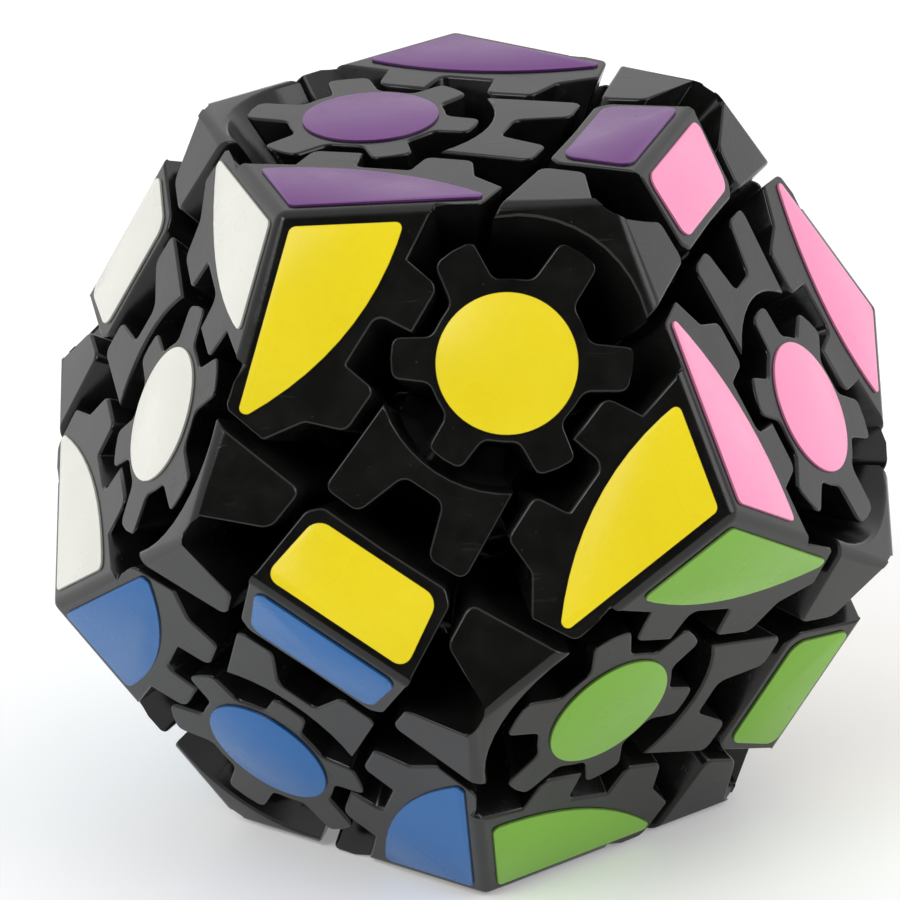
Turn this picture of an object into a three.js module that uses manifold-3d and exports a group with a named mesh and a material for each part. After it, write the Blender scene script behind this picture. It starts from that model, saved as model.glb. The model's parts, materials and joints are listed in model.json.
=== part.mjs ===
import * as THREE from 'three';
import { mergeVertices } from 'three/addons/utils/BufferGeometryUtils.js';
import Module from 'manifold-3d';

// Millimetres and degrees. Latitudes are measured from the equator of a turning axis.
const EDGE = 32;
const GAP = 0.35;
const PHI = (1 + Math.sqrt(5)) / 2;
const UNIT = (EDGE * PHI) / 2;

// Rack rim: twenty teeth round every layer, three of them on each side of a corner.
const RACK_TEETH = 20;
const RACK_TIP_HALF = 3.9;
const RACK_ROOT_HALF = 4.6;
const WING_TIP_HALF = 6.2;
const WING_ROOT_HALF = 3.7;

// Six-tooth gear and the nest it spins in. Its teeth fill the rack's gaps less the backlash.
const GEAR_TEETH = 6;
const GEAR_TIP_ANGLE = 17.4;
const NEST_ANGLE = GEAR_TIP_ANGLE + 1.9;
const BACKLASH = 1.2;
const GEAR_TOOTH_TIP_HALF = 180 / RACK_TEETH - RACK_ROOT_HALF - BACKLASH;
const GEAR_TOOTH_ROOT_HALF = GEAR_TOOTH_TIP_HALF + 0.35;

// Where neighbouring pieces part, seen from the centre of the puzzle.
const MIDDLE_LATITUDE = 12.2;
const TOOTH_TIP_LATITUDE = MIDDLE_LATITUDE + 2;
const TOOTH_ROOT_LATITUDE = GEAR_TIP_ANGLE + 2.2;
const WING_NOTCH_LATITUDE = TOOTH_ROOT_LATITUDE + 2.6;
const GEAR_ROOT_ANGLE = TOOTH_TIP_LATITUDE - 2.7;
const STEM_LATITUDE = 8;
const FOOT_LATITUDE = STEM_LATITUDE + 1.3;

// Radii that divide heads, feet and core.
const COVER_RADIUS = 0.962 * UNIT;
const FOOT_INNER_RADIUS = 0.655 * UNIT;
const CORE_RADIUS = 8.5;
const ARM_RADIUS = 2.7;
const ARM_END = 0.6 * UNIT;

// Floor under the gear, and the gear's stem with its snap head.
const GEAR_FLOOR = COVER_RADIUS + 3.6;
const STEM_RADIUS = 1.8;
const SNAP_LIP = 0.3;
const SNAP_SHOULDER = COVER_RADIUS - 0.8;
const SNAP_DEPTH = 1.9;

// Centre body, screw, spring and cap, as distances along a turning axis.
const WELL_FLOOR = COVER_RADIUS + 1;
const WELL_RADIUS = 3.5;
const SCREW_RADIUS = 1.15;
const SCREW_END = 0.42 * UNIT;
const SCREW_HEAD_RADIUS = WELL_RADIUS - 0.9;
const SCREW_HEAD_BASE = WELL_FLOOR + 3.5;
const SCREW_HEAD_TOP = SCREW_HEAD_BASE + 1.2;
const CENTRE_TOP = SCREW_HEAD_TOP + 1.5;
const SPRING_RADIUS = SCREW_RADIUS + 0.85;
const SPRING_WIRE = 0.3;
const SPRING_TURNS = 3.5;

const AXIS_X = new THREE.Vector3(1, 0, 0);
const AXIS_Y = new THREE.Vector3(0, 1, 0);
const AXIS_Z = new THREE.Vector3(0, 0, 1);
const EDGE_AXIS = new THREE.Vector3(1, 1, 0).normalize();
const CORNER_AXIS = new THREE.Vector3(1, 1, 1).normalize();
const radians = THREE.MathUtils.degToRad;

const wasm = await Module();
wasm.setup();

function toSolid(geometry) {
  const bare = new THREE.BufferGeometry();
  bare.setAttribute('position', geometry.getAttribute('position'));
  bare.setIndex(geometry.getIndex());
  const merged = mergeVertices(bare, 1e-4);
  const mesh = new wasm.Mesh({
    numProp: 3,
    vertProperties: new Float32Array(merged.getAttribute('position').array),
    triVerts: new Uint32Array(merged.getIndex().array),
  });
  return new wasm.Manifold(mesh);
}

function toGeometry(solid) {
  const mesh = solid.simplify(0.04).getMesh();
  const geometry = new THREE.BufferGeometry();
  geometry.setAttribute('position', new THREE.BufferAttribute(mesh.vertProperties, 3));
  geometry.setIndex(new THREE.BufferAttribute(mesh.triVerts, 1));
  geometry.computeVertexNormals();
  return geometry;
}

// Unit direction at a latitude and azimuth about turning axis 0, 1 or 2.
// The azimuth runs from the following axis towards the one after it.
function polar(axis, latitude, azimuth) {
  const components = [0, 0, 0];
  const level = Math.cos(radians(latitude));
  components[axis] = Math.sin(radians(latitude));
  components[(axis + 1) % 3] = level * Math.cos(radians(azimuth));
  components[(axis + 2) % 3] = level * Math.sin(radians(azimuth));
  return new THREE.Vector3(...components);
}

// Azimuth on one latitude circle where it meets a latitude circle of the neighbouring axis.
function crossing(latitude, otherLatitude) {
  const ratio = Math.sin(radians(otherLatitude)) / Math.cos(radians(latitude));
  return THREE.MathUtils.radToDeg(Math.asin(ratio));
}

function mirrored(directions, sx, sy, sz) {
  return directions.map((d) => new THREE.Vector3(d.x * sx, d.y * sy, d.z * sz));
}

// Pyramid-like solid with its apex at the centre: an outline of directions, cut by two
// planes square to the given axis.
function wedge(directions, axis, near, far) {
  const turn = new THREE.Quaternion().setFromUnitVectors(axis, AXIS_Z);
  const flat = directions.map((d) => {
    const local = d.clone().applyQuaternion(turn);
    return new THREE.Vector2(local.x / local.z, local.y / local.z);
  });
  const options = { depth: 1, bevelEnabled: false, steps: 1 };
  const geometry = new THREE.ExtrudeGeometry(new THREE.Shape(flat), options);
  const position = geometry.getAttribute('position');
  for (let i = 0; i < position.count; i += 1) {
    const height = near + position.getZ(i) * (far - near);
    position.setXYZ(i, position.getX(i) * height, position.getY(i) * height, height);
  }
  geometry.applyQuaternion(turn.invert());
  return toSolid(geometry);
}

// Cylinder or cone along an axis through the centre of the puzzle.
function turned(axis, near, far, nearRadius, farRadius, segments) {
  const geometry = new THREE.CylinderGeometry(farRadius, nearRadius, far - near, segments);
  geometry.translate(0, (near + far) / 2, 0);
  geometry.applyQuaternion(new THREE.Quaternion().setFromUnitVectors(AXIS_Y, axis));
  return toSolid(geometry);
}

function ball(radius, detail) {
  return toSolid(new THREE.IcosahedronGeometry(radius, detail));
}

// Ball with flat bands, its poles on the third turning axis and one band at the equator.
function bandedBall(radius) {
  const geometry = new THREE.SphereGeometry(radius, 24, 7);
  geometry.rotateX(Math.PI / 2);
  geometry.rotateZ(Math.PI / 24);
  return toSolid(geometry);
}

const dodecahedron = toSolid(new THREE.DodecahedronGeometry(Math.sqrt(3) * UNIT));
const footBall = ball(COVER_RADIUS - GAP / 2, 2);
const hollowBall = ball(FOOT_INNER_RADIUS, 2);
const footBand = bandedBall(COVER_RADIUS - GAP / 2);
const hollowBand = bandedBall(FOOT_INNER_RADIUS);
const headBase = COVER_RADIUS + GAP / 2;
const outerReach = 2 * UNIT;

// Outline of a corner: three rack rims of three teeth, one about each turning axis. The two
// outermost flanks of a rim run to the point where its root circle meets the next one.
function cornerOutline() {
  const outline = [];
  const pitch = 360 / RACK_TEETH;
  const meeting = crossing(TOOTH_ROOT_LATITUDE, TOOTH_ROOT_LATITUDE);
  for (const axis of [2, 0, 1]) {
    outline.push(polar(axis, TOOTH_ROOT_LATITUDE, meeting));
    for (const centre of [45 - pitch, 45, 45 + pitch]) {
      if (centre > 45 - pitch) {
        outline.push(polar(axis, TOOTH_ROOT_LATITUDE, centre - RACK_ROOT_HALF));
      }
      outline.push(polar(axis, TOOTH_TIP_LATITUDE, centre - RACK_TIP_HALF));
      outline.push(polar(axis, TOOTH_TIP_LATITUDE, centre + RACK_TIP_HALF));
      if (centre < 45 + pitch) {
        outline.push(polar(axis, TOOTH_ROOT_LATITUDE, centre + RACK_ROOT_HALF));
      }
    }
  }
  return outline;
}

function cornerFootOutline() {
  const outline = [];
  const start = crossing(FOOT_LATITUDE, FOOT_LATITUDE);
  for (const axis of [2, 0, 1]) {
    for (const share of [0, 0.25, 0.5, 0.75]) {
      outline.push(polar(axis, FOOT_LATITUDE, start + share * (90 - 2 * start)));
    }
  }
  return outline;
}

function makeCorner() {
  const head = wedge(cornerOutline(), CORNER_AXIS, 0.8 * UNIT, outerReach);
  const foot = wedge(cornerFootOutline(), CORNER_AXIS, 0.4 * UNIT, outerReach);
  return head.intersect(dodecahedron).add(foot.intersect(footBall).subtract(hollowBall));
}

// Side of a middle-layer piece, following one latitude circle about the third axis.
function sideArc(latitude, from, to, count) {
  const points = [];
  for (let i = 0; i < count; i += 1) {
    points.push(polar(2, latitude, from + ((to - from) * i) / (count - 1)));
  }
  return points;
}

// Outline of a carrier: straight sides, and at each end two wing teeth with a notch between.
function carrierOutline() {
  const start = crossing(MIDDLE_LATITUDE, TOOTH_TIP_LATITUDE);
  const half = [
    polar(1, WING_NOTCH_LATITUDE, 90 - WING_ROOT_HALF),
    polar(1, TOOTH_TIP_LATITUDE, 90 - WING_TIP_HALF),
    ...sideArc(MIDDLE_LATITUDE, start, 90 - start, 5),
    polar(0, TOOTH_TIP_LATITUDE, WING_TIP_HALF),
    polar(0, WING_NOTCH_LATITUDE, WING_ROOT_HALF),
  ];
  return [...half, ...mirrored(half, 1, 1, -1).reverse()];
}

function plainEdgeOutline(sideLatitude, endLatitude) {
  const start = crossing(sideLatitude, endLatitude);
  const half = sideArc(sideLatitude, start, 90 - start, 5);
  return [...half, ...mirrored(half, 1, 1, -1).reverse()];
}

function makeCarrier() {
  const head = wedge(carrierOutline(), EDGE_AXIS, headBase, outerReach).intersect(dodecahedron);
  const neckOutline = plainEdgeOutline(STEM_LATITUDE - 1, WING_NOTCH_LATITUDE + 1);
  const neck = wedge(neckOutline, EDGE_AXIS, 0.8 * UNIT, GEAR_FLOOR - 0.4 * GAP);
  const footOutline = plainEdgeOutline(STEM_LATITUDE, FOOT_LATITUDE);
  const foot = wedge(footOutline, EDGE_AXIS, 0.4 * UNIT, outerReach)
    .intersect(footBand)
    .subtract(hollowBand);
  const slope = Math.tan(radians(NEST_ANGLE));
  const nest = turned(EDGE_AXIS, GEAR_FLOOR, outerReach, GEAR_FLOOR * slope, outerReach * slope, 48);
  const bore = turned(EDGE_AXIS, 0.8 * UNIT, 1.2 * UNIT, STEM_RADIUS + GAP, STEM_RADIUS + GAP, 12);
  const pocketRadius = STEM_RADIUS + 2 * GAP + SNAP_LIP;
  const pocketEnd = SNAP_SHOULDER - SNAP_DEPTH - GAP;
  const pocket = turned(EDGE_AXIS, pocketEnd, SNAP_SHOULDER, pocketRadius, pocketRadius, 12);
  return head.add(neck).add(foot).subtract(nest).subtract(bore.add(pocket));
}

// Gear outline as a ring of directions about the edge axis; a gap faces each rack.
function gearOutline() {
  const tip = Math.tan(radians(GEAR_TIP_ANGLE));
  const root = Math.tan(radians(GEAR_ROOT_ANGLE));
  const sideways = new THREE.Vector3().crossVectors(EDGE_AXIS, AXIS_Z);
  const outline = [];
  const toothRoot = Math.tan(radians(GEAR_TOOTH_ROOT_HALF));
  const toothTip = Math.tan(radians(GEAR_TOOTH_TIP_HALF));
  const place = (radius, offset, azimuth) => {
    const along = radius * Math.cos(azimuth) - offset * Math.sin(azimuth);
    const across = radius * Math.sin(azimuth) + offset * Math.cos(azimuth);
    const point = EDGE_AXIS.clone().addScaledVector(AXIS_Z, along);
    outline.push(point.addScaledVector(sideways, across));
  };
  for (let i = 0; i < GEAR_TEETH; i += 1) {
    const azimuth = ((i + 0.5) * 2 * Math.PI) / GEAR_TEETH;
    place(root, -toothRoot, azimuth);
    place(tip * 0.985, -toothTip, azimuth);
    place(tip, 0, azimuth);
    place(tip * 0.985, toothTip, azimuth);
    place(root, toothRoot, azimuth);
    place(root * 1.03, 0, azimuth + Math.PI / GEAR_TEETH);
  }
  return outline;
}

function makeGear() {
  const base = GEAR_FLOOR + GAP;
  const snapTop = SNAP_SHOULDER - GAP;
  const headRadius = STEM_RADIUS + GAP + SNAP_LIP;
  const wheel = wedge(gearOutline(), EDGE_AXIS, base, outerReach).intersect(dodecahedron);
  const stem = turned(EDGE_AXIS, snapTop - 1, base + 1, STEM_RADIUS, STEM_RADIUS, 12);
  const snapEnd = SNAP_SHOULDER - SNAP_DEPTH;
  const snap = turned(EDGE_AXIS, snapEnd, snapTop, headRadius - 0.6, headRadius, 12);
  return wheel.add(stem).add(snap);
}

// Four-sided outline about the first turning axis, its corners taken off.
function blockOutline(latitude) {
  const reach = crossing(latitude, latitude);
  const cut = reach * 0.86;
  const quarter = [
    polar(2, latitude, 0),
    polar(2, latitude, cut),
    polar(1, latitude, 90 - cut),
  ];
  const upper = [...quarter, polar(1, latitude, 90)];
  const half = [...upper, ...mirrored(quarter, 1, 1, -1).reverse()];
  const other = mirrored(half.slice(1, -1), 1, -1, 1).reverse();
  return [...half, ...other];
}

function makeCentre() {
  const head = wedge(blockOutline(MIDDLE_LATITUDE), AXIS_X, headBase, CENTRE_TOP);
  const stem = wedge(blockOutline(STEM_LATITUDE), AXIS_X, 0.5 * UNIT, 1.05 * UNIT);
  const well = turned(AXIS_X, WELL_FLOOR, outerReach, WELL_RADIUS, WELL_RADIUS, 16);
  const bore = turned(AXIS_X, 0.3 * UNIT, outerReach, SCREW_RADIUS + GAP, SCREW_RADIUS + GAP, 12);
  return head.add(stem.subtract(hollowBall)).subtract(well).subtract(bore);
}

function makeCap() {
  const base = CENTRE_TOP + 0.5 * GAP;
  const plugRadius = WELL_RADIUS - 0.5 * GAP;
  const plugEnd = SCREW_HEAD_TOP + GAP;
  const roof = wedge(blockOutline(MIDDLE_LATITUDE), AXIS_X, base, outerReach);
  const plug = turned(AXIS_X, plugEnd, base + 1, plugRadius, plugRadius, 16);
  return roof.intersect(dodecahedron).add(plug);
}

function makeCore() {
  let core = ball(CORE_RADIUS, 1);
  for (const axis of [AXIS_X, AXIS_Y, AXIS_Z]) {
    core = core.add(turned(axis, -ARM_END, ARM_END, ARM_RADIUS, ARM_RADIUS, 10));
  }
  const pilotRadius = SCREW_RADIUS + 0.3;
  for (const axis of [AXIS_X, AXIS_Y, AXIS_Z]) {
    for (const side of [-1, 1]) {
      const outward = axis.clone().multiplyScalar(side);
      const pilot = turned(outward, SCREW_END - 0.6, ARM_END + 1, pilotRadius, pilotRadius, 8);
      core = core.subtract(pilot);
    }
  }
  return core;
}

function makeScrew() {
  const shaft = turned(AXIS_X, SCREW_END, SCREW_HEAD_BASE + 0.3, SCREW_RADIUS, SCREW_RADIUS, 12);
  const head = turned(
    AXIS_X, SCREW_HEAD_BASE, SCREW_HEAD_TOP, SCREW_HEAD_RADIUS, SCREW_HEAD_RADIUS * 0.9, 16,
  );
  let screw = shaft.add(head);
  for (const [width, height] of [[0.6, 3], [3, 0.6]]) {
    const slot = new THREE.BoxGeometry(1.2, width, height);
    slot.translate(SCREW_HEAD_TOP, 0, 0);
    screw = screw.subtract(toSolid(slot));
  }
  return screw;
}

class Helix extends THREE.Curve {
  constructor(start, end, radius, turns) {
    super();
    this.start = start;
    this.end = end;
    this.radius = radius;
    this.turns = turns;
  }

  getPoint(share, target = new THREE.Vector3()) {
    const angle = share * this.turns * 2 * Math.PI;
    const height = THREE.MathUtils.lerp(this.start, this.end, share);
    return target.set(height, this.radius * Math.cos(angle), this.radius * Math.sin(angle));
  }
}

function makeSpring() {
  const start = WELL_FLOOR + SPRING_WIRE + 0.15;
  const end = SCREW_HEAD_BASE - SPRING_WIRE - 0.15;
  const coil = new Helix(start, end, SPRING_RADIUS, SPRING_TURNS);
  const wire = new THREE.Shape();
  wire.absarc(0, 0, SPRING_WIRE, 0, 2 * Math.PI);
  const options = {
    steps: Math.round(SPRING_TURNS * 8),
    curveSegments: 3,
    extrudePath: coil,
    bevelEnabled: false,
  };
  return toSolid(new THREE.ExtrudeGeometry(wire, options));
}

const finishes = {
  blackPlastic: { color: 0x1b1b1d, roughness: 0.35, metalness: 0 },
  whitePlastic: { color: 0xd8d8d4, roughness: 0.5, metalness: 0 },
  zincSteel: { color: 0xb9bdc2, roughness: 0.35, metalness: 1 },
  springSteel: { color: 0x8f9499, roughness: 0.3, metalness: 1 },
};

const shapes = {
  corner: toGeometry(makeCorner()),
  carrier: toGeometry(makeCarrier()),
  gear: toGeometry(makeGear()),
  centre: toGeometry(makeCentre()),
  cap: toGeometry(makeCap()),
  core: toGeometry(makeCore()),
  screw: toGeometry(makeScrew()),
  spring: toGeometry(makeSpring()),
};

// The twelve face colours, each with the face normal it belongs to.
const FACES = [
  ['yellow', PHI, 1, 0],
  ['blue', PHI, -1, 0],
  ['orange', -PHI, 1, 0],
  ['red', -PHI, -1, 0],
  ['purple', 0, PHI, 1],
  ['pink', 0, PHI, -1],
  ['sky', 0, -PHI, 1],
  ['grey', 0, -PHI, -1],
  ['white', 1, 0, PHI],
  ['green', 1, 0, -PHI],
  ['teal', -1, 0, PHI],
  ['cream', -1, 0, -PHI],
];

function faceAt(x, y, z) {
  const wanted = new THREE.Vector3(x, y, z).normalize();
  const scores = FACES.map((face) => wanted.dot(new THREE.Vector3(face[1], face[2], face[3])));
  return FACES[scores.indexOf(Math.max(...scores))][0];
}

// The twelve rotations that carry the puzzle into itself: three axis cycles, four sign sets.
function puzzleRotations() {
  const axes = [AXIS_X, AXIS_Y, AXIS_Z];
  const signSets = [[1, 1, 1], [1, -1, -1], [-1, 1, -1], [-1, -1, 1]];
  const rotations = [];
  for (let cycle = 0; cycle < 3; cycle += 1) {
    for (const signs of signSets) {
      const images = [0, 1, 2].map((i) => {
        const target = (i + cycle) % 3;
        return axes[target].clone().multiplyScalar(signs[target]);
      });
      rotations.push(new THREE.Matrix4().makeBasis(...images));
    }
  }
  return rotations;
}

function place(parent, name, geometry, finish, rotation) {
  const material = new THREE.MeshStandardMaterial(finishes[finish]);
  material.name = finish;
  const mesh = new THREE.Mesh(geometry, material);
  mesh.name = name;
  mesh.quaternion.setFromRotationMatrix(rotation);
  parent.add(mesh);
  return mesh;
}

function moved(vector, rotation) {
  return vector.clone().applyMatrix4(rotation);
}

const puzzle = new THREE.Group();
puzzle.name = 'dodecahedron_twisty_puzzle';
const body = new THREE.Group();
body.name = 'puzzle_frame';
puzzle.add(body);

// The puzzle rests on one face with the opposite face level on top and one face to the front.
const up = new THREE.Vector3(0, PHI, 1).normalize();
const front = new THREE.Vector3(PHI, 1, 0).normalize();
const back = front.addScaledVector(up, -front.dot(up)).normalize().negate();
const right = new THREE.Vector3().crossVectors(back, up);
const standing = new THREE.Matrix4().makeBasis(right, back, up).transpose();
body.quaternion.setFromRotationMatrix(standing);
body.position.z = (PHI * PHI * UNIT) / Math.sqrt(PHI * PHI + 1);

place(body, 'core_spider', shapes.core, 'whitePlastic', new THREE.Matrix4());

const rotations = puzzleRotations();
const firstNormal = new THREE.Vector3(PHI, 1, 0);
for (const rotation of rotations) {
  const colour = faceAt(...moved(firstNormal, rotation).toArray());
  place(body, `carrier_${colour}`, shapes.carrier, 'blackPlastic', rotation);
  place(body, `gear_${colour}`, shapes.gear, 'blackPlastic', rotation);
}

// Each ridge has two rotations that reach it; the first one found is used.
const ridges = new Set();
for (const rotation of rotations) {
  const axis = moved(AXIS_X, rotation);
  const lean = moved(AXIS_Y, rotation);
  const above = axis.clone().multiplyScalar(PHI).add(lean);
  const below = axis.clone().multiplyScalar(PHI).sub(lean);
  const colours = [faceAt(...above.toArray()), faceAt(...below.toArray())].sort();
  const ridge = colours.join('_');
  if (!ridges.has(ridge)) {
    ridges.add(ridge);
    place(body, `centre_${ridge}`, shapes.centre, 'blackPlastic', rotation);
    place(body, `cap_${ridge}`, shapes.cap, 'blackPlastic', rotation);
    place(body, `screw_${ridge}`, shapes.screw, 'zincSteel', rotation);
    place(body, `spring_${ridge}`, shapes.spring, 'springSteel', rotation);
  }
}

// Four corners are rotations of the first one and four are its mirror images.
for (const rotation of rotations.slice(0, 4)) {
  for (const side of [1, -1]) {
    const spot = moved(CORNER_AXIS.clone().setZ(CORNER_AXIS.z * side), rotation);
    const colours = [
      faceAt(PHI * spot.x, spot.y, 0),
      faceAt(0, PHI * spot.y, spot.z),
      faceAt(spot.x, 0, PHI * spot.z),
    ];
    const name = `corner_${colours.join('_')}`;
    const corner = place(body, name, shapes.corner, 'blackPlastic', rotation);
    corner.scale.z = side;
  }
}

export default puzzle;
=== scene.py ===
import json
import math

import bmesh
import bpy
from mathutils import Matrix, Vector

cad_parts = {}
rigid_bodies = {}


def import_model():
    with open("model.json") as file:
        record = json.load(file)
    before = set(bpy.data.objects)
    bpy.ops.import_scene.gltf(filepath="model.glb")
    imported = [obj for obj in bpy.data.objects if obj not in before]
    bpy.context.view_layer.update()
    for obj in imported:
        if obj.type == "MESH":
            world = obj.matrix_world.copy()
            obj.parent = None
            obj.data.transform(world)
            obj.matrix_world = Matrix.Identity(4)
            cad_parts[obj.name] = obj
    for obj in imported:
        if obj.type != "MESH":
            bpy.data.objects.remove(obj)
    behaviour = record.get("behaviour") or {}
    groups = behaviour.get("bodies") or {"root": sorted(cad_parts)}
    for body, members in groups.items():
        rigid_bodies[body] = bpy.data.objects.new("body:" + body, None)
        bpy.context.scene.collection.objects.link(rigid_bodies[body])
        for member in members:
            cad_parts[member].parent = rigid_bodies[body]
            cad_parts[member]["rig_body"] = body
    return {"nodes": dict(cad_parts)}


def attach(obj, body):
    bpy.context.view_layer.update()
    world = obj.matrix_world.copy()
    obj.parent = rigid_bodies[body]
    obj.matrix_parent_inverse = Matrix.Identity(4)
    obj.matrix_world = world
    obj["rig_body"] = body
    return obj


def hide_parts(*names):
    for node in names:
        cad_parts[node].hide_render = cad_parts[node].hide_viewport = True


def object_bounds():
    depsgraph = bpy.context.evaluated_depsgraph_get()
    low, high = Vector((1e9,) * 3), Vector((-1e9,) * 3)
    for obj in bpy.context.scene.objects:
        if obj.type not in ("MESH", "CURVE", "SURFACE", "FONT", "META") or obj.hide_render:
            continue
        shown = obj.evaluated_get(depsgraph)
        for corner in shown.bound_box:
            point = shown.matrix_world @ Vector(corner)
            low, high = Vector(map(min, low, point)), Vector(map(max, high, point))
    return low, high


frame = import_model()
cadLow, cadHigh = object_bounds()
print("frame loaded")

# Proportions of a regular dodecahedron. The unit is half the edge of the cube inside it.
golden = (1 + math.sqrt(5)) / 2
slant = math.sqrt(golden ** 2 + 1)
apothem = (cadHigh.z - cadLow.z) / 2
centre = Vector((0, 0, cadLow.z + apothem))
unit = apothem * slant / golden ** 2

# The three turning axes stand at an angle, because the puzzle rests on one of its faces.
upAxis = Vector((0, golden, 1)).normalized()
faceAxis = Vector((golden, 1, 0)).normalized()
backAxis = -(faceAxis - upAxis * faceAxis.dot(upAxis)).normalized()
toRow = Matrix((backAxis.cross(upAxis), backAxis, upAxis))
axisX = toRow @ Vector((1, 0, 0))
axisY = toRow @ Vector((0, 1, 0))
axisZ = toRow @ Vector((0, 0, 1))

# For each face, the turning axis of its ridge cap and the axis on the far side of its gear.
faceAxes = {
    "yellow": (axisX, axisY),
    "blue": (axisX, -axisY),
    "orange": (-axisX, axisY),
    "red": (-axisX, -axisY),
    "purple": (axisY, axisZ),
    "pink": (axisY, -axisZ),
    "sky": (-axisY, axisZ),
    "grey": (-axisY, -axisZ),
    "white": (axisZ, axisX),
    "green": (-axisZ, axisX),
    "teal": (axisZ, -axisX),
    "cream": (-axisZ, -axisX),
}
faceNormals = {c: (a * golden + b).normalized() for c, (a, b) in faceAxes.items()}
nodes = frame["nodes"]


def bodyOf(node):
    return nodes[node]["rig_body"]


# Node helpers that every material below uses.
def newGroup(name, inputs, outputs):
    group = bpy.data.node_groups.new(name, "ShaderNodeTree")
    for label, value in inputs:
        socket = group.interface.new_socket(label, in_out="INPUT", socket_type="NodeSocketFloat")
        socket.default_value = value
    for label, kind in outputs:
        group.interface.new_socket(label, in_out="OUTPUT", socket_type=kind)
    return group, group.nodes.new("NodeGroupInput"), group.nodes.new("NodeGroupOutput")


def feed(tree, socket, value):
    if isinstance(value, (int, float, tuple)):
        socket.default_value = value
    else:
        tree.links.new(value, socket)


def objectPlace(tree):
    return tree.nodes.new("ShaderNodeTexCoord").outputs["Object"]


def addNoise(tree, vector, scale, detail=3.0, roughness=0.5, distortion=0.0):
    noise = tree.nodes.new("ShaderNodeTexNoise")
    feed(tree, noise.inputs["Vector"], vector)
    feed(tree, noise.inputs["Scale"], scale)
    noise.inputs["Detail"].default_value = detail
    noise.inputs["Roughness"].default_value = roughness
    noise.inputs["Distortion"].default_value = distortion
    return noise.outputs["Fac"]


def addMath(tree, operation, first, second, clamp=False):
    node = tree.nodes.new("ShaderNodeMath")
    node.operation = operation
    node.use_clamp = clamp
    feed(tree, node.inputs[0], first)
    feed(tree, node.inputs[1], second)
    return node.outputs[0]


def addRange(tree, value, low, high, newLow=0.0, newHigh=1.0):
    node = tree.nodes.new("ShaderNodeMapRange")
    feed(tree, node.inputs["Value"], value)
    feed(tree, node.inputs["From Min"], low)
    feed(tree, node.inputs["From Max"], high)
    feed(tree, node.inputs["To Min"], newLow)
    feed(tree, node.inputs["To Max"], newHigh)
    return node.outputs["Result"]


def addMix(tree, share, first, second):
    node = tree.nodes.new("ShaderNodeMix")
    node.data_type = "RGBA"
    feed(tree, node.inputs[0], share)
    feed(tree, node.inputs[6], first)
    feed(tree, node.inputs[7], second)
    return node.outputs[2]


def addBump(tree, height, strength, distance):
    node = tree.nodes.new("ShaderNodeBump")
    node.inputs["Strength"].default_value = strength
    node.inputs["Distance"].default_value = distance
    feed(tree, node.inputs["Height"], height)
    return node.outputs["Normal"]


def addAttribute(tree, name):
    node = tree.nodes.new("ShaderNodeAttribute")
    node.attribute_name = name
    return node.outputs["Fac"]


def makeHandlingGroup():
    # Marks of use: soft smudges, short fine scratches and specks of dust, as masks from 0 to 1.
    inputs = [("Size", 1.0), ("Scratches", 0.5), ("Dust", 0.5)]
    outputs = [(label, "NodeSocketFloat") for label in ("Smudge", "Scratch", "Dust")]
    tree, start, end = newGroup("handlingMarks", inputs, outputs)
    place = objectPlace(tree)
    size = start.outputs["Size"]
    broad = addNoise(tree, place, addMath(tree, "MULTIPLY", size, 70.0), 2.0, 0.5)
    fine = addNoise(tree, place, addMath(tree, "MULTIPLY", size, 420.0), 4.0, 0.65, 0.6)
    smudge = addMath(tree, "MULTIPLY", addRange(tree, broad, 0.35, 0.7), fine, True)
    tree.links.new(smudge, end.inputs["Smudge"])

    turn = tree.nodes.new("ShaderNodeMapping")
    turn.inputs["Rotation"].default_value = (0.6, 0.35, 0.9)
    turn.inputs["Scale"].default_value = (1.0, 14.0, 3.0)
    tree.links.new(place, turn.inputs["Vector"])
    streakScale = addMath(tree, "MULTIPLY", size, 260.0)
    streak = addNoise(tree, turn.outputs["Vector"], streakScale, 2.0, 0.4, 0.2)
    thin = addRange(tree, streak, 0.66, 0.72)
    patch = addRange(tree, broad, 0.45, 0.62)
    marks = addMath(tree, "MULTIPLY", thin, patch)
    scratch = addMath(tree, "MULTIPLY", marks, start.outputs["Scratches"], True)
    tree.links.new(scratch, end.inputs["Scratch"])

    speck = tree.nodes.new("ShaderNodeTexVoronoi")
    feed(tree, speck.inputs["Vector"], place)
    feed(tree, speck.inputs["Scale"], addMath(tree, "MULTIPLY", size, 900.0))
    near = addRange(tree, speck.outputs["Distance"], 0.04, 0.13, 1.0, 0.0)
    few = addRange(tree, addNoise(tree, place, 1900.0, 0.0), 0.6, 0.66)
    specks = addMath(tree, "MULTIPLY", near, few)
    dust = addMath(tree, "MULTIPLY", specks, start.outputs["Dust"], True)
    tree.links.new(dust, end.inputs["Dust"])
    return tree


handling = makeHandlingGroup()


def newMaterial(name):
    material = bpy.data.materials.new(name)
    material.use_nodes = True
    tree = material.node_tree
    return material, tree, tree.nodes["Principled BSDF"]


def addHandling(tree, size, scratches, dust):
    node = tree.nodes.new("ShaderNodeGroup")
    node.node_tree = handling
    node.inputs["Size"].default_value = size
    node.inputs["Scratches"].default_value = scratches
    node.inputs["Dust"].default_value = dust
    return node.outputs


plasticLook = {
    "deep": (0.0034, 0.0034, 0.0031, 1.0),
    "faded": (0.0052, 0.0050, 0.0046, 1.0),
    "worn": (0.011, 0.0105, 0.010, 1.0),  # rubbed edges and scratches
    "dusty": (0.06, 0.057, 0.052, 1.0),
    "roughness": (0.13, 0.24),  # clean, smudged
    "ior": 1.53,
    "sheen": 0.33,
    "grainScale": 2600.0,
    "grainDepth": 0.000012,
}


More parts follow.
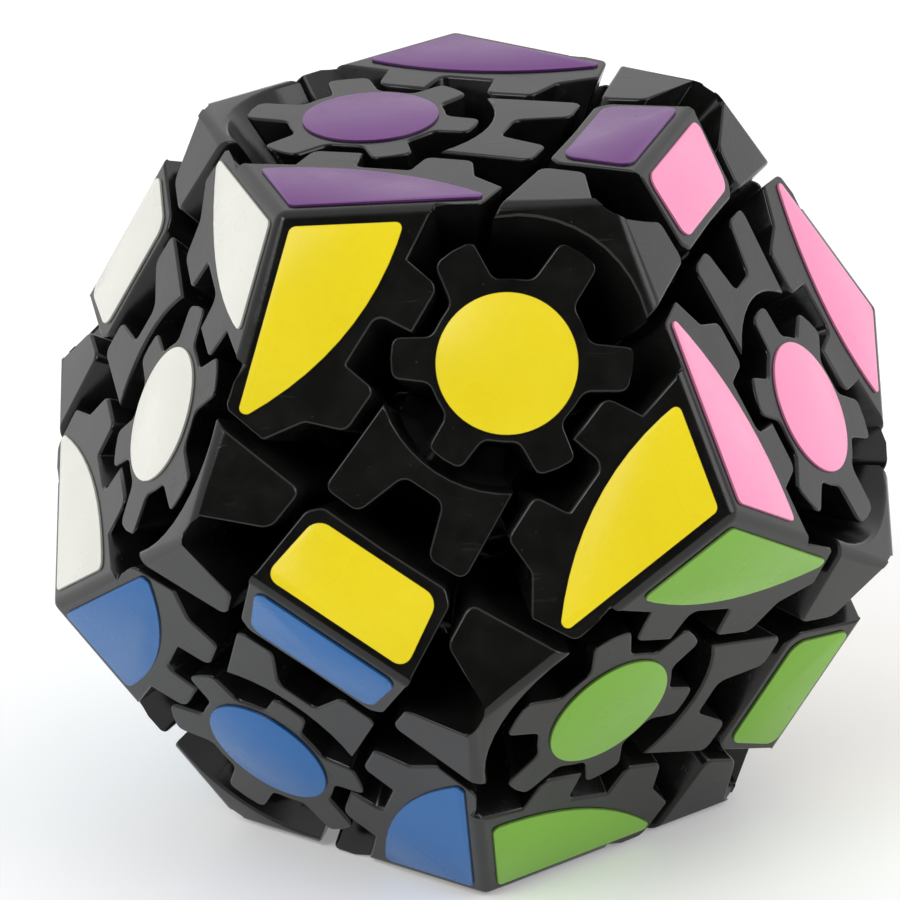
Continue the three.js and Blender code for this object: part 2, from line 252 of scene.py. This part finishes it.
def makeBlackPlastic():
    # Moulded styrene plastic: nearly black, glossy, slightly paler where edges are rubbed.
    look = plasticLook
    material, tree, surface = newMaterial("blackPlastic")
    marks = addHandling(tree, 1.0, 0.55, 0.35)
    place = objectPlace(tree)
    cloud = addRange(tree, addNoise(tree, place, 38.0, 3.0), 0.35, 0.65)
    colour = addMix(tree, cloud, look["deep"], look["faded"])
    rub = addRange(tree, addNoise(tree, place, 320.0, 3.0, 0.6), 0.38, 0.68, 0.25, 1.0)
    worn = addMath(tree, "MULTIPLY", addAttribute(tree, "edgeWear"), rub, True)
    colour = addMix(tree, addMath(tree, "MULTIPLY", worn, 0.7), colour, look["worn"])
    colour = addMix(tree, addMath(tree, "MULTIPLY", marks["Scratch"], 0.35), colour, look["worn"])
    colour = addMix(tree, marks["Dust"], colour, look["dusty"])
    tree.links.new(colour, surface.inputs["Base Color"])
    low, high = look["roughness"]
    rough = addRange(tree, marks["Smudge"], 0.0, 0.7, low, high)
    rough = addMath(tree, "ADD", rough, addMath(tree, "MULTIPLY", marks["Scratch"], 0.2))
    rough = addMath(tree, "ADD", rough, addMath(tree, "MULTIPLY", worn, 0.06), True)
    tree.links.new(rough, surface.inputs["Roughness"])
    surface.inputs["IOR"].default_value = look["ior"]
    surface.inputs["Specular IOR Level"].default_value = look["sheen"]
    grain = addNoise(tree, place, look["grainScale"], 2.0, 0.5)
    wave = addNoise(tree, place, 160.0, 1.0, 0.4)
    grain = addMath(tree, "MULTIPLY", grain, 0.25)
    height = addMath(tree, "ADD", grain, addMath(tree, "MULTIPLY", wave, 1.6))
    height = addMath(tree, "SUBTRACT", height, addMath(tree, "MULTIPLY", marks["Scratch"], 0.5))
    tree.links.new(addBump(tree, height, 0.35, look["grainDepth"] * 6), surface.inputs["Normal"])
    return material


stickerLook = {
    "colours": {  # red, green and blue from 0 to 255
        "yellow": (240, 218, 34),
        "blue": (16, 98, 166),
        "orange": (240, 122, 34),
        "red": (196, 34, 40),
        "purple": (106, 52, 122),
        "pink": (250, 152, 192),
        "sky": (120, 190, 226),
        "grey": (150, 150, 148),
        "white": (226, 226, 217),
        "green": (118, 173, 50),
        "teal": (22, 108, 78),
        "cream": (240, 220, 172),
    },
    # share of the colour kept on the cut sides and edge rounding, as painted shade
    "rimPaintedShadeShare": 0.45,
    "roughness": (0.26, 0.40),  # clean, smudged
    "ior": 1.48,
    "sheen": 0.42,
    "dusty": (0.3, 0.29, 0.27, 1.0),
}


def linear(channel):
    share = channel / 255
    return share / 12.92 if share <= 0.04045 else ((share + 0.055) / 1.055) ** 2.4


def shade(colour, share):
    return tuple(channel * share for channel in colour[:3]) + (1.0,)


def makeSticker(name):
    # Cut vinyl: even colour with a faint print mottle, painted shade darkening the cut rim, and a
    # smooth laminate.
    look = stickerLook
    base = tuple(linear(channel) for channel in look["colours"][name]) + (1.0,)
    material, tree, surface = newMaterial("sticker_" + name)
    marks = addHandling(tree, 1.4, 0.3, 0.1)
    place = objectPlace(tree)
    mottle = addRange(tree, addNoise(tree, place, 90.0, 4.0, 0.6), 0.3, 0.7)
    colour = addMix(tree, mottle, shade(base, 0.955), shade(base, 1.03))
    fibre = addRange(tree, addNoise(tree, place, 1500.0, 2.0), 0.35, 0.65)
    colour = addMix(tree, addMath(tree, "MULTIPLY", fibre, 0.25), colour, shade(base, 0.93))
    # Painted shade: the sticker's cut sides and rounded edge are darkened in the colour itself.
    rim = addMath(tree, "MULTIPLY", addAttribute(tree, "paintedShadeRim"), 0.85)
    colour = addMix(tree, rim, colour, shade(base, look["rimPaintedShadeShare"]))
    dust = addMath(tree, "MULTIPLY", marks["Dust"], 0.5)
    colour = addMix(tree, dust, colour, look["dusty"])
    tree.links.new(colour, surface.inputs["Base Color"])
    low, high = look["roughness"]
    rough = addRange(tree, marks["Smudge"], 0.0, 0.6, low, high)
    rough = addMath(tree, "ADD", rough, addMath(tree, "MULTIPLY", marks["Scratch"], 0.12), True)
    tree.links.new(rough, surface.inputs["Roughness"])
    surface.inputs["IOR"].default_value = look["ior"]
    surface.inputs["Specular IOR Level"].default_value = look["sheen"]
    ripple = addNoise(tree, place, 240.0, 2.0, 0.5)
    height = addMath(tree, "ADD", ripple, addMath(tree, "MULTIPLY", fibre, 0.12))
    tree.links.new(addBump(tree, height, 0.3, 0.00004), surface.inputs["Normal"])
    return material


metalLooks = {
    "zincSteel": {
        "clean": (0.58, 0.60, 0.62, 1.0),
        "stained": (0.42, 0.42, 0.40, 1.0),
        "roughness": (0.25, 0.42),
        "stretch": (1.0, 1.0, 6.0),
    },
    "springSteel": {
        "clean": (0.40, 0.41, 0.43, 1.0),
        "stained": (0.24, 0.23, 0.22, 1.0),
        "roughness": (0.22, 0.38),
        "stretch": (5.0, 5.0, 1.0),
    },
}


def makeMetal(name):
    # Drawn or plated steel, its fine lines stretched one way.
    look = metalLooks[name]
    material, tree, surface = newMaterial(name)
    place = objectPlace(tree)
    turn = tree.nodes.new("ShaderNodeMapping")
    turn.inputs["Scale"].default_value = look["stretch"]
    tree.links.new(place, turn.inputs["Vector"])
    line = addNoise(tree, turn.outputs["Vector"], 900.0, 3.0, 0.6)
    stain = addRange(tree, addNoise(tree, place, 210.0, 3.0), 0.4, 0.7)
    stain = addMath(tree, "MULTIPLY", stain, 0.6)
    colour = addMix(tree, stain, look["clean"], look["stained"])
    tree.links.new(colour, surface.inputs["Base Color"])
    surface.inputs["Metallic"].default_value = 1.0
    low, high = look["roughness"]
    tree.links.new(addRange(tree, line, 0.3, 0.7, low, high), surface.inputs["Roughness"])
    tree.links.new(addBump(tree, line, 0.3, 0.00002), surface.inputs["Normal"])
    return material


coreLook = {
    "shaded": (0.60, 0.59, 0.54, 1.0),
    "pale": (0.70, 0.69, 0.65, 1.0),
    "roughness": (0.38, 0.52),
    "bleed": 0.1,  # share of the light that soaks in
    "bleedDepth": 0.002,
}


def makeCorePlastic():
    # Natural plastic of the core, waxy and slightly yellowed.
    look = coreLook
    material, tree, surface = newMaterial("corePlastic")
    place = objectPlace(tree)
    cloud = addRange(tree, addNoise(tree, place, 60.0, 3.0), 0.35, 0.65)
    colour = addMix(tree, cloud, look["shaded"], look["pale"])
    tree.links.new(colour, surface.inputs["Base Color"])
    grain = addNoise(tree, place, 1800.0, 2.0)
    low, high = look["roughness"]
    tree.links.new(addRange(tree, grain, 0.3, 0.7, low, high), surface.inputs["Roughness"])
    surface.inputs["Subsurface Weight"].default_value = look["bleed"]
    surface.inputs["Subsurface Scale"].default_value = look["bleedDepth"]
    tree.links.new(addBump(tree, grain, 0.3, 0.00003), surface.inputs["Normal"])
    return material


blackPlastic = makeBlackPlastic()
corePlastic = makeCorePlastic()
zincSteel = makeMetal("zincSteel")
springSteel = makeMetal("springSteel")
stickerVinyl = {name: makeSticker(name) for name in faceAxes}
print("materials made")


def addPiece(bm, name, material):
    mesh = bpy.data.meshes.new(name)
    bm.to_mesh(mesh)
    bm.free()
    mesh.materials.append(material)
    piece = bpy.data.objects.new(name, mesh)
    bpy.context.scene.collection.objects.link(piece)
    return piece


def smoothUnder(piece, angle):
    piece.data.shade_smooth()
    piece.data.set_sharp_from_angle(angle=angle)


# The black mouldings are the CAD shapes again, with their outer edges rounded.
rounding = {
    "corner": 0.0010,  # radius of an outline corner, seen from above
    "ridge": 0.0008,  # width of the rounding between two faces
    "rim": 0.0003,  # width of the rounding round each face
    "steps": 3,
    "share": 0.45,  # of the room beside a wall that its rounding may take
    "least": 0.00008,  # narrower walls stay sharp, and widths go in steps of this
    "rimRoom": 1.25,  # an outline corner stays sharp below this many rim widths
    "creaseFrom": math.radians(24),
    "deepest": 0.93,  # in units from the centre; lower edges stay sharp
    "skinDepth": 0.0009,
    "skinTilt": 0.8,
    "sameSpot": 0.000002,
    "flatUnder": math.radians(1.5),
    "shortest": 0.0013,  # shorter skin edges are closed up
    "merge": 0.00025,
    "smoothUnder": math.radians(34),
}


def facesTouched(point, slack=0.00002):
    return {c for c, n in faceNormals.items() if n.dot(point - centre) > apothem - slack}


def isSkin(face):
    # True for the outer skin: a dodecahedron face, or the rounding between two of them.
    tilt = max(n.dot(face.normal) for n in faceNormals.values())
    if tilt < rounding["skinTilt"]:
        return False
    depth = rounding["skinDepth"]
    return all(facesTouched(v.co, depth) for v in face.verts)


def isCrease(edge):
    return len(edge.link_faces) == 2 and edge.calc_face_angle(0.0) > rounding["creaseFrom"]


def isOuter(edge):
    return all((v.co - centre).length > rounding["deepest"] * unit for v in edge.verts)


def sortCreases(bm):
    # Walls run inward from the skin, ridges part two dodecahedron faces, rims bound the skin.
    found = {"wall": [], "ridge": [], "rim": []}
    skin = {face: isSkin(face) for face in bm.faces}
    for edge in bm.edges:
        if not isCrease(edge):
            continue
        skins = sum(skin[face] for face in edge.link_faces)
        if skins == 2:
            found["ridge"].append(edge)
        elif skins == 1:
            found["rim"].append(edge)
        elif isOuter(edge) and any(facesTouched(v.co) for v in edge.verts):
            found["wall"].append(edge)
    return found


def bevelEdges(bm, edges, width, wear):
    if not edges:
        return
    made = bmesh.ops.bevel(
        bm, geom=edges, offset=width, offset_type="OFFSET", segments=rounding["steps"],
        profile=0.5, affect="EDGES", clamp_overlap=False, loop_slide=True, material=-1,
    )
    for face in made["faces"]:
        for vert in face.verts:
            vert[wear] = 1.0


def roomBeside(edge):
    # Shortest neighbour of an edge, along which its rounding has to fit.
    return min(o.calc_length() for v in edge.verts for o in v.link_edges if o is not edge)


def wallWidths(walls):
    # Groups the walls by the bevel width that gives them all one radius, where there is room.
    step = rounding["least"]
    groups = {}
    for edge in walls:
        turn = edge.calc_face_angle_signed(0.0)
        slope = math.tan(abs(turn) / 2)
        width = min(rounding["corner"] * slope, rounding["share"] * roomBeside(edge))
        tight = turn > 0 and width / slope < rounding["rimRoom"] * rounding["rim"]
        if width > step and not tight:
            groups.setdefault(round(width / step), []).append(edge)
    return {count * step: edges for count, edges in sorted(groups.items())}


def closeShortEdges(bm, limit):
    # Shuts short skin edges onto the end that touches more faces, which keeps every face flat.
    targets = {}
    for edge in sorted(bm.edges, key=lambda e: e.calc_length()):
        if edge.calc_length() > limit:
            break
        drop, keep = sorted(edge.verts, key=lambda v: len(facesTouched(v.co)))
        used = set(targets) | set(targets.values())
        if facesTouched(drop.co) and drop not in used and keep not in targets:
            targets[drop] = keep
    bmesh.ops.weld_verts(bm, targetmap=targets)


def roundMoulding(name):
    bm = bmesh.new()
    bm.from_mesh(nodes[name].data)
    bmesh.ops.remove_doubles(bm, verts=bm.verts, dist=rounding["sameSpot"])
    bmesh.ops.dissolve_limit(
        bm, angle_limit=rounding["flatUnder"], use_dissolve_boundaries=False,
        verts=bm.verts, edges=bm.edges, delimit=set(),
    )
    closeShortEdges(bm, rounding["shortest"])
    bmesh.ops.remove_doubles(bm, verts=bm.verts, dist=rounding["merge"])
    wear = bm.verts.layers.float.new("edgeWear")
    bm.normal_update()
    bevelEdges(bm, sortCreases(bm)["ridge"], rounding["ridge"], wear)
    bm.normal_update()
    for width, edges in wallWidths(sortCreases(bm)["wall"]).items():
        bevelEdges(bm, [e for e in edges if e.is_valid], width, wear)
    bm.normal_update()
    bevelEdges(bm, sortCreases(bm)["rim"], rounding["rim"], wear)

    piece = addPiece(bm, name + "_moulding", blackPlastic)
    smoothUnder(piece, rounding["smoothUnder"])
    weighted = piece.modifiers.new("weighted", "WEIGHTED_NORMAL")
    weighted.keep_sharp = True
    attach(piece, bodyOf(name))
    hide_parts(name)


for name in sorted(nodes):
    if name.split("_")[0] in ("corner", "carrier", "gear", "cap"):
        roundMoulding(name)
print("mouldings rounded")

# Nodes that keep their CAD shape take a finish only.
hiddenFinish = {
    "core": corePlastic,
    "screw": zincSteel,
    "spring": springSteel,
    "centre": blackPlastic,
}
for name, node in nodes.items():
    kind = name.split("_")[0]
    if kind in hiddenFinish:
        node.data.materials.clear()
        node.data.materials.append(hiddenFinish[kind])


# Stickers are cut on a face's own plane; their sizes below are in units.
sticker = {
    "thickness": 0.00022,
    "sunk": 0.00004,  # how far the underside reaches into the plastic
    "rim": 0.00007,
    "cornerSteps": 6,
    "rimFrom": 1.0,  # radians between the top and the cut side
    "topSlack": 0.000001,
    "smoothUnder": math.radians(35),
}


def faceMatrix(colour, side=1):
    # Local u runs along the face's diagonal, v towards the ridge cap, and the third axis outward.
    capAxis, farAxis = faceAxes[colour]
    diagonal = capAxis.cross(farAxis)
    down = (capAxis - farAxis * golden).normalized()
    matrix = Matrix((diagonal * side, down, faceNormals[colour])).transposed().to_4x4()
    matrix.translation = centre + (capAxis + farAxis) * unit
    return matrix


def roundCorners(bm, sizes):
    # Each key is a corner's number in the outline, each value the radius to give it.
    bm.verts.ensure_lookup_table()
    corners = [(bm.verts[i], size) for i, size in sizes.items()]
    for vert, size in corners:
        bmesh.ops.bevel(
            bm, geom=[vert], offset=size, offset_type="OFFSET", segments=sticker["cornerSteps"],
            profile=0.5, affect="VERTICES", clamp_overlap=True, material=-1,
        )


def makeStickerPiece(name, colour, body, fillOutline, side=1):
    # Cuts one sticker; a side of -1 makes the mirror image.
    bm = bmesh.new()
    fillOutline(bm)
    rim = bm.verts.layers.float.new("paintedShadeRim")
    bmesh.ops.translate(bm, verts=bm.verts, vec=(0, 0, -sticker["sunk"]))
    raised = bmesh.ops.extrude_face_region(bm, geom=list(bm.faces), use_keep_orig=True)
    top = {item for item in raised["geom"] if isinstance(item, bmesh.types.BMVert)}
    lift = sticker["thickness"] + sticker["sunk"]
    bmesh.ops.translate(bm, verts=list(top), vec=(0, 0, lift))
    topEdges = [e for e in bm.edges if set(e.verts) <= top]
    bmesh.ops.bevel(
        bm, geom=[e for e in topEdges if e.calc_face_angle(0.0) > sticker["rimFrom"]],
        offset=sticker["rim"], offset_type="OFFSET", segments=2, profile=0.5,
        affect="EDGES", clamp_overlap=True, material=-1,
    )
    # Marks the cut sides and lower rounding, which the sticker material darkens as painted shade.
    for vert in bm.verts:
        if vert.co.z < sticker["thickness"] - sticker["topSlack"]:
            vert[rim] = 1.0
    bmesh.ops.recalc_face_normals(bm, faces=bm.faces)
    bmesh.ops.transform(bm, matrix=faceMatrix(colour, side), verts=bm.verts)
    if side < 0:
        bmesh.ops.reverse_faces(bm, faces=bm.faces)
    piece = addPiece(bm, name, stickerVinyl[colour])
    smoothUnder(piece, sticker["smoothUnder"])
    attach(piece, body)


def fillPolygon(bm, points):
    bm.faces.new([bm.verts.new((u * unit, v * unit, 0)) for u, v in points])


discSticker = {"radius": 0.261, "segments": 72}


def fillDisc(bm):
    bmesh.ops.create_circle(
        bm, cap_ends=True, segments=discSticker["segments"], radius=discSticker["radius"] * unit,
    )


capSticker = {
    "top": 0.85,
    "bottom": 1.135,
    "topHalf": 0.268,
    "bottomHalf": 0.31,
    "corner": 0.055,
}


def fillTrapezoid(bm):
    look = capSticker
    fillPolygon(bm, [
        (-look["topHalf"], look["top"]), (look["topHalf"], look["top"]),
        (look["bottomHalf"], look["bottom"]), (-look["bottomHalf"], look["bottom"]),
    ])
    roundCorners(bm, {i: look["corner"] * unit for i in range(4)})


cornerSticker = {
    "margin": 0.052,  # plastic left bare along the pentagon's edges
    "inner": 0.545,  # where the curved side comes nearest the gear
    "innerAt": 0.12,
    "bulge": 0.45,
    "top": -0.228,
    "tip": 0.685,
    "curveSteps": 11,
    "topCorner": 0.035,
    "outerCorner": 0.022,
    "tipCorner": 0.016,
}


def innerSide(v):
    look = cornerSticker
    return look["inner"] + look["bulge"] * (v - look["innerAt"]) ** 2


def fillCorner(bm):
    # Two sides follow the pentagon's edges; the third bulges towards the rack teeth.
    look = cornerSticker
    topTilt, sideTilt = math.radians(36), math.radians(18)
    slopeTop, slopeSide = math.tan(topTilt), math.tan(sideTilt)
    topShift = look["margin"] / math.cos(topTilt)
    sideShift = look["margin"] / math.cos(sideTilt)
    outerV = (topShift - sideShift * slopeTop) / (1 + slopeSide * slopeTop)
    outer = (1 - sideShift - outerV * slopeSide, outerV)
    tip = (1 - sideShift - look["tip"] * slopeSide, look["tip"])
    top = (innerSide(look["top"]), (innerSide(look["top"]) - 1) * slopeTop + topShift)
    curve = []
    for i in range(look["curveSteps"]):
        v = look["tip"] + (look["top"] - look["tip"]) * i / look["curveSteps"]
        curve.append((innerSide(v), v))
    fillPolygon(bm, [top, outer, tip] + curve)
    radii = [look[key] for key in ("topCorner", "outerCorner", "tipCorner", "tipCorner")]
    roundCorners(bm, {i: radius * unit for i, radius in enumerate(radii)})


def nodeOf(kind, colours):
    # The node of this kind whose name holds all of these colours.
    return next(n for n in nodes if n.startswith(kind) and colours <= set(n.split("_")))


for colour, (capAxis, farAxis) in faceAxes.items():
    gearNode, capNode = nodeOf("gear_", {colour}), nodeOf("cap_", {colour})
    makeStickerPiece("sticker_disc_" + colour, colour, bodyOf(gearNode), fillDisc)
    makeStickerPiece("sticker_cap_" + colour, colour, bodyOf(capNode), fillTrapezoid)
    for side, label in ((1, "a"), (-1, "b")):
        vertex = centre + (capAxis + farAxis + capAxis.cross(farAxis) * side) * unit
        cornerNode = nodeOf("corner_", facesTouched(vertex, rounding["skinDepth"]))
        name = "sticker_corner_" + colour + "_" + label
        makeStickerPiece(name, colour, bodyOf(cornerNode), fillCorner, side)
print("stickers placed")


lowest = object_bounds()[0].z
backdrop = {
    "size": 6.0,
    "colour": (0.84, 0.84, 0.835, 1.0),
    "glow": 0.24,
}


def makeFloor():
    material, tree, surface = newMaterial("paleFloor")
    place = objectPlace(tree)
    grain = addRange(tree, addNoise(tree, place, 14.0, 3.0), 0.3, 0.7)
    base = backdrop["colour"]
    colour = addMix(tree, grain, shade(base, 0.99), shade(base, 1.01))
    tree.links.new(colour, surface.inputs["Base Color"])
    surface.inputs["Roughness"].default_value = 0.75
    surface.inputs["Specular IOR Level"].default_value = 0.2
    surface.inputs["Emission Color"].default_value = (1.0, 1.0, 1.0, 1.0)
    surface.inputs["Emission Strength"].default_value = backdrop["glow"]
    bm = bmesh.new()
    bmesh.ops.create_grid(bm, x_segments=1, y_segments=1, size=backdrop["size"])
    bmesh.ops.translate(bm, verts=bm.verts, vec=(0, 0, lowest))
    addPiece(bm, "floor", material)


makeFloor()

viewpoint = {
    "aim": (-0.00203, 0.00017, 0.0362),
    "azimuth": 2.22,
    "elevation": 23.81,
    "roll": -3.39,
    "distance": 0.5623,
    "lens": 223.4,
    "sensor": 36,
    "nearest": 0.01,
    "farthest": 50,
}


def makeCamera():
    look = viewpoint
    azimuth, elevation = math.radians(look["azimuth"]), math.radians(look["elevation"])
    towards = Vector((
        math.sin(azimuth) * math.cos(elevation),
        -math.cos(azimuth) * math.cos(elevation),
        math.sin(elevation),
    ))
    camera = bpy.data.objects.new("camera", bpy.data.cameras.new("camera"))
    bpy.context.scene.collection.objects.link(camera)
    level = (-towards).to_track_quat("-Z", "Y").to_matrix()
    turn = level @ Matrix.Rotation(math.radians(look["roll"]), 3, "Z")
    place = Vector(look["aim"]) + towards * look["distance"]
    camera.matrix_world = Matrix.Translation(place) @ turn.to_4x4()
    camera.data.sensor_width = look["sensor"]
    camera.data.lens = look["lens"]
    camera.data.clip_start = look["nearest"]
    camera.data.clip_end = look["farthest"]
    bpy.context.scene.camera = camera
    return towards


cameraSide = makeCamera()

studio = {
    "surround": 1.0,
    "shade": 0.01,
    "shadeFrom": 0.60,  # cosine of the angle from the camera's side
    "shadeTo": 0.90,
    "lampSize": 0.7,
    "key": {"position": (-0.7, -0.9, 1.3), "power": 8},
    "fill": {"position": (1.1, -0.5, 0.7), "power": 4},
}


def makeSurround():
    # A white tent with a dark opening on the camera's side, as a studio cove gives.
    world = bpy.data.worlds.new("studio")
    world.use_nodes = True
    bpy.context.scene.world = world
    tree = world.node_tree
    background = tree.nodes["Background"]
    direction = tree.nodes.new("ShaderNodeTexCoord").outputs["Generated"]
    dot = tree.nodes.new("ShaderNodeVectorMath")
    dot.operation = "DOT_PRODUCT"
    tree.links.new(direction, dot.inputs[0])
    dot.inputs[1].default_value = tuple(cameraSide)
    level = addRange(
        tree, dot.outputs["Value"], studio["shadeFrom"], studio["shadeTo"],
        studio["surround"], studio["shade"],
    )
    tree.links.new(level, background.inputs["Strength"])
    background.inputs["Color"].default_value = (1.0, 1.0, 1.0, 1.0)


def addSoftbox(name, position, power):
    light = bpy.data.lights.new(name, "AREA")
    light.shape = "RECTANGLE"
    light.size = light.size_y = studio["lampSize"]
    light.energy = power
    lamp = bpy.data.objects.new(name, light)
    bpy.context.scene.collection.objects.link(lamp)
    turn = (centre - Vector(position)).to_track_quat("-Z", "Y").to_matrix()
    lamp.matrix_world = Matrix.Translation(position) @ turn.to_4x4()


makeSurround()
for label in ("key", "fill"):
    addSoftbox(label + "Light", **studio[label])
bpy.context.scene.view_settings.view_transform = "Standard"
print("stage set")
